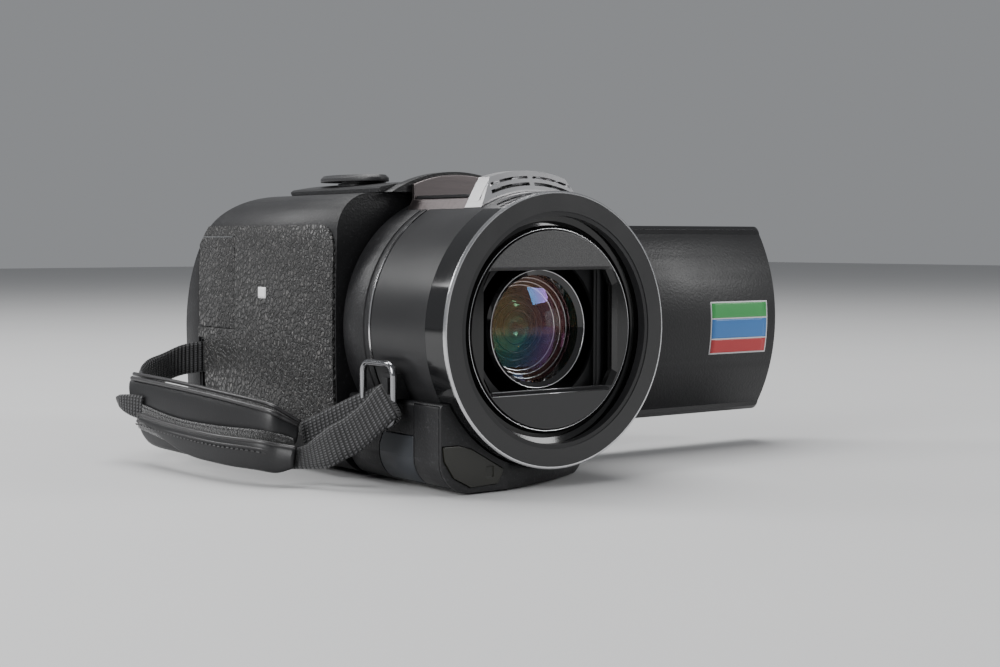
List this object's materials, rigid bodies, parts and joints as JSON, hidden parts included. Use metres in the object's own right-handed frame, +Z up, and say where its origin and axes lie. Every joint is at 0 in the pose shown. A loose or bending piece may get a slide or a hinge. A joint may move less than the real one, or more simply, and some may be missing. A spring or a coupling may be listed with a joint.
{
  "type": "camcorder",
  "caption": "Palm-held video camcorder with a round lens barrel, mask with sliding leaves, flip-out screen, padded hand strap, accessory shoe and rear battery.",
  "frame": {"origin": "mouth of the tripod socket, in the plane of the base", "axes": "+Z up, the lens looks along -Y, the flip-out screen is on +X and the hand grip on -X"},
  "size_m": [0.174, 0.155, 0.0774],
  "materials": {
    "cover_black": "fine textured moulded plastic",
    "barrel_dark": "satin metallic paint",
    "hood_gloss": "gloss black",
    "bright_trim": "satin chrome",
    "leather": "pebbled leatherette",
    "webbing": "ribbed nylon webbing",
    "pad_skin": "smooth leatherette",
    "screen_glass": "gloss screen",
    "lens_glass": "coated optical glass",
    "ir_smoke": "smoked satin window",
    "button": "satin plastic",
    "button_red": "satin plastic",
    "steel": "brushed",
    "circuit": "circuit board",
    "battery": "satin plastic"
  },
  "bodies": {
    "body": {"barrel_sleeve": "barrel_dark", "barrel_trim": "bright_trim", "battery_plate": "cover_black", "bottom_plate": "cover_black", "card_slot": "steel", "chassis_frame": "steel", "filter_thread_ring": "barrel_dark", "front_cover": "cover_black", "grip_panel": "leather", "hinge_bracket": "steel", "hood_edge_trim": "bright_trim", "hood_ring": "hood_gloss", "ir_window": "ir_smoke", "jack_sockets": "button", "left_cover": "cover_black", "lens_mask": "hood_gloss", "main_board": "circuit", "mic_capsules": "steel", "mic_grille": "bright_trim", "rear_cover": "cover_black", "right_cover": "cover_black", "screws": "steel", "shoe_rails": "bright_trim", "shoe_well": "hood_gloss", "speaker": "steel", "strap_anchors": "cover_black", "strap_pad_inner": "pad_skin", "strap_pad_outer": "webbing", "strap_ring": "bright_trim", "strap_webbing_front": "webbing", "strap_webbing_rear": "webbing", "top_cover": "cover_black", "tripod_socket": "steel"},
    "lcd_arm": {"lcd_arm": "cover_black"},
    "lcd_panel": {"lcd_back_cover": "cover_black", "lcd_bezel": "screen_glass", "lcd_screen": "screen_glass"},
    "zoom_lever": {"zoom_lever": "button"},
    "photo_button": {"photo_button": "button"},
    "start_stop_button": {"start_stop_button": "button_red"},
    "mode_button": {"mode_button": "button"},
    "power_button": {"power_button": "button"},
    "play_button": {"play_button": "button"},
    "battery": {"battery_pack": "battery"},
    "battery_release": {"battery_release": "button"},
    "connector_door": {"connector_door": "leather"},
    "jack_door": {"jack_door": "cover_black"},
    "headphone_cover": {"headphone_cover": "ir_smoke"},
    "shoe_cover": {"shoe_cover": "cover_black"},
    "card_door": {"card_door": "cover_black"},
    "upper_inner_leaf": {"upper_inner_leaf": "steel"},
    "upper_outer_leaf": {"upper_outer_leaf": "steel"},
    "lower_inner_leaf": {"lower_inner_leaf": "steel"},
    "lower_outer_leaf": {"lower_outer_leaf": "steel"},
    "gimbal": {"gimbal_ring": "steel"},
    "lens_unit": {"lens_barrel": "hood_gloss", "front_glass": "lens_glass", "image_sensor": "circuit"},
    "zoom_group": {"zoom_lens_group": "lens_glass"},
    "manual_dial": {"manual_dial": "button"}
  },
  "joints": [
    {"name": "lcd_swing", "type": "hinge", "parent": "body", "child": "lcd_arm", "pos_m": [0.03, -0.0215, 0.0365], "axis": [0, 0, 1], "range_deg": [0, 90]},
    {"name": "lcd_rotate", "type": "hinge", "parent": "lcd_arm", "child": "lcd_panel", "pos_m": [0.0345, -0.02325, 0.0365], "axis": [1, 0, 0], "range_deg": [-90, 180]},
    {"name": "zoom_rock", "type": "hinge", "parent": "body", "child": "zoom_lever", "pos_m": [-0.009, 0.012, 0.0736], "axis": [0, 0, 1], "range_deg": [-8, 8], "stiffness_Nm_per_rad": 0.02},
    {"name": "photo_press", "type": "slide", "parent": "body", "child": "photo_button", "axis": [0, 0, -1], "range_m": [0, 0.0006], "stiffness_N_per_m": 600},
    {"name": "start_stop_press", "type": "slide", "parent": "body", "child": "start_stop_button", "axis": [0, -1, 0], "range_m": [0, 0.0006], "stiffness_N_per_m": 600},
    {"name": "mode_press", "type": "slide", "parent": "body", "child": "mode_button", "axis": [0, -1, 0], "range_m": [0, 0.0005], "stiffness_N_per_m": 600},
    {"name": "power_press", "type": "slide", "parent": "body", "child": "power_button", "axis": [-1, 0, 0], "range_m": [0, 0.0004], "stiffness_N_per_m": 600},
    {"name": "play_press", "type": "slide", "parent": "body", "child": "play_button", "axis": [-1, 0, 0], "range_m": [0, 0.0004], "stiffness_N_per_m": 600},
    {"name": "battery_slide", "type": "slide", "parent": "body", "child": "battery", "axis": [0, 0, 1], "range_m": [0, 0.034]},
    {"name": "battery_release_slide", "type": "slide", "parent": "body", "child": "battery_release", "axis": [1, 0, 0], "range_m": [0, 0.004], "stiffness_N_per_m": 200},
    {"name": "connector_door_hinge", "type": "hinge", "parent": "body", "child": "connector_door", "pos_m": [-0.0354, 0.0379, 0.048], "axis": [0, 0, 1], "range_deg": [0, 100]},
    {"name": "jack_door_hinge", "type": "hinge", "parent": "body", "child": "jack_door", "pos_m": [-0.0283, -0.0519, 0.00145], "axis": [0, -1, 0], "range_deg": [0, 70]},
    {"name": "headphone_cover_hinge", "type": "hinge", "parent": "body", "child": "headphone_cover", "pos_m": [-0.0283, -0.0388, 0.00145], "axis": [0, -1, 0], "range_deg": [0, 70]},
    {"name": "shoe_cover_hinge", "type": "hinge", "parent": "body", "child": "shoe_cover", "pos_m": [0, -0.02175, 0.07055], "axis": [-1, 0, 0], "range_deg": [0, 90]},
    {"name": "card_door_hinge", "type": "hinge", "parent": "body", "child": "card_door", "pos_m": [0.0246, 0.032, 0.014], "axis": [0, -1, 0], "range_deg": [-90, 0]},
    {"name": "cover_leaf_drive", "type": "slide", "parent": "body", "child": "upper_inner_leaf", "axis": [0, 0, -1], "range_m": [0, 0.01455]},
    {"name": "upper_outer_leaf_slide", "type": "slide", "parent": "body", "child": "upper_outer_leaf", "axis": [0, 0, -1], "range_m": [0, 0.0073]},
    {"name": "lower_inner_leaf_slide", "type": "slide", "parent": "body", "child": "lower_inner_leaf", "axis": [0, 0, 1], "range_m": [0, 0.01456]},
    {"name": "lower_outer_leaf_slide", "type": "slide", "parent": "body", "child": "lower_outer_leaf", "axis": [0, 0, 1], "range_m": [0, 0.0073]},
    {"name": "gimbal_pan", "type": "hinge", "parent": "body", "child": "gimbal", "pos_m": [0, -0.03, 0.038], "axis": [0, 0, 1], "range_deg": [-3, 3], "stiffness_Nm_per_rad": 0.5},
    {"name": "gimbal_tilt", "type": "hinge", "parent": "gimbal", "child": "lens_unit", "pos_m": [0, -0.03, 0.038], "axis": [1, 0, 0], "range_deg": [-3, 3], "stiffness_Nm_per_rad": 0.5},
    {"name": "zoom_slide", "type": "slide", "parent": "lens_unit", "child": "zoom_group", "axis": [0, 1, 0], "range_m": [0, 0.016]},
    {"name": "dial_spin", "type": "hinge", "parent": "body", "child": "manual_dial", "pos_m": [0.0234, -0.035, 0.0082], "axis": [1, 0, 0], "continuous": true}
  ],
  "couplings": [
    {"joint": "upper_outer_leaf_slide", "follows": "cover_leaf_drive", "ratio": 0.5},
    {"joint": "lower_inner_leaf_slide", "follows": "cover_leaf_drive", "ratio": 1},
    {"joint": "lower_outer_leaf_slide", "follows": "cover_leaf_drive", "ratio": 0.5}
  ]
}
